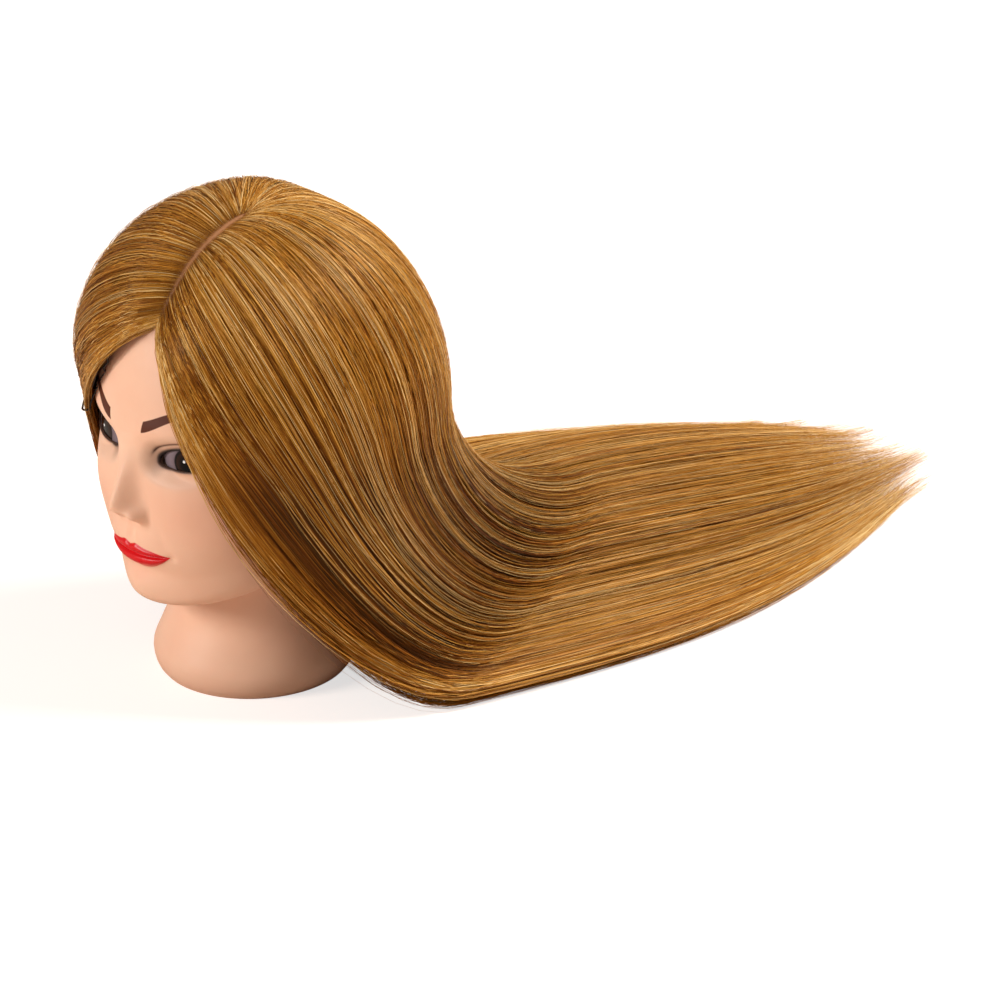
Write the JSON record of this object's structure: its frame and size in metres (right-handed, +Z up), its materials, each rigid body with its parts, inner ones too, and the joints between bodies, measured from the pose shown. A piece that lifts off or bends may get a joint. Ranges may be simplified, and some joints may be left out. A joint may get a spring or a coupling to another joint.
{
  "type": "mannequin training head",
  "caption": "Soft vinyl practice head for hairdressing, with long straight rooted hair parted at the middle, swept back over the table and held by a hair pin at one temple.",
  "frame": {"origin": "centre of the clamp socket's mouth at the foot of the neck, on the table top", "axes": "+Z up through the neck; -Y is the way the face looks; +X is towards the mannequin's own left; the hair lies out along +Y"},
  "size_m": [0.2737, 0.593, 0.2709],
  "materials": {
    "soft_vinyl": "satin",
    "blonde_hair": "satin",
    "eye_gloss": "gloss",
    "abs_plastic": "satin",
    "rigid_foam": "matte",
    "root_adhesive": "matte",
    "lacquered_steel": "gloss"
  },
  "bodies": {
    "head": {"head_skin": "soft_vinyl", "foam_core": "rigid_foam", "hair_root_lining": "root_adhesive", "clamp_socket": "abs_plastic", "neck_base_plate": "abs_plastic", "left_eye": "eye_gloss", "right_eye": "eye_gloss", "hair_left_fringe": "blonde_hair", "hair_left_temple": "blonde_hair", "hair_left_front": "blonde_hair", "hair_left_side": "blonde_hair", "hair_left_rear": "blonde_hair", "hair_left_nape": "blonde_hair", "hair_back_left": "blonde_hair", "hair_back_right": "blonde_hair", "hair_right_nape": "blonde_hair", "hair_right_rear": "blonde_hair", "hair_right_side": "blonde_hair", "hair_right_front": "blonde_hair", "hair_right_temple": "blonde_hair", "hair_right_fringe": "blonde_hair"},
    "hair_pin": {"hair_pin": "lacquered_steel"}
  },
  "joints": [
    {"name": "hair_pin_slide", "type": "slide", "parent": "head", "child": "hair_pin", "axis": [-0.5762, 0.1741, -0.7985], "range_m": [0, 0.055]}
  ]
}
